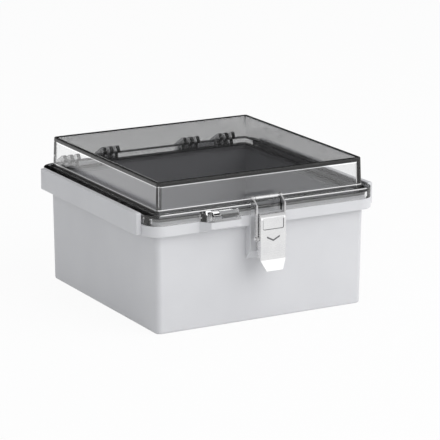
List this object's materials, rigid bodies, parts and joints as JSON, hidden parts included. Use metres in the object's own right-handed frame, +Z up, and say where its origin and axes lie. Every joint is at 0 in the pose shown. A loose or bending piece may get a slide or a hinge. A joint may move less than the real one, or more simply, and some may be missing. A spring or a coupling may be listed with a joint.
{
  "type": "waterproof enclosure",
  "caption": "Square waterproof enclosure: pale moulded base, raised clear lid on rear hinges, gasket, padlock tab and stainless toggle latch at the front.",
  "frame": {"origin": "centre of the underside of the base", "axes": "+X to the right along the latch side, +Y from the latch to the hinges, +Z up"},
  "size_m": [0.2294, 0.243, 0.13],
  "materials": {
    "base_abs": "fine matt moulding",
    "plate_abs": "fine matt moulding",
    "lid_pc": "clear, lightly smoked, glossy",
    "gasket_rubber": "foamed, matt",
    "stainless": "bright satin",
    "brass": "plain"
  },
  "bodies": {
    "base": {"base_shell": "base_abs", "hinge_pin_left": "stainless", "hinge_pin_right": "stainless", "hinge_rings": "stainless", "latch_bracket": "stainless", "lever_pivot_pin": "stainless", "bracket_screws": "stainless", "bracket_inserts": "brass", "mounting_plate": "plate_abs", "plate_screws": "stainless", "plate_inserts": "brass", "wall_inserts": "brass"},
    "lid": {"lid_shell": "lid_pc", "lid_gasket": "gasket_rubber"},
    "lever": {"latch_lever": "stainless", "bail_pivot_pin": "stainless", "bail_washers": "stainless"},
    "bail": {"latch_arm_left": "stainless", "latch_arm_right": "stainless", "latch_crossbar": "stainless"}
  },
  "joints": [
    {"name": "lid_open", "type": "hinge", "parent": "base", "child": "lid", "pos_m": [0, 0.116, 0.098], "axis": [-1, 0, 0], "range_deg": [0, 110]},
    {"name": "lever_open", "type": "hinge", "parent": "base", "child": "lever", "pos_m": [0, -0.1135, 0.091], "axis": [-1, 0, 0], "range_deg": [0, 150]},
    {"name": "bail_swing", "type": "hinge", "parent": "lever", "child": "bail", "pos_m": [0, -0.1135, 0.075], "axis": [-1, 0, 0], "range_deg": [-166, 1]}
  ],
  "couplings": [
    {"joint": "bail_swing", "follows": "lever_open", "ratio": -1.1}
  ]
}
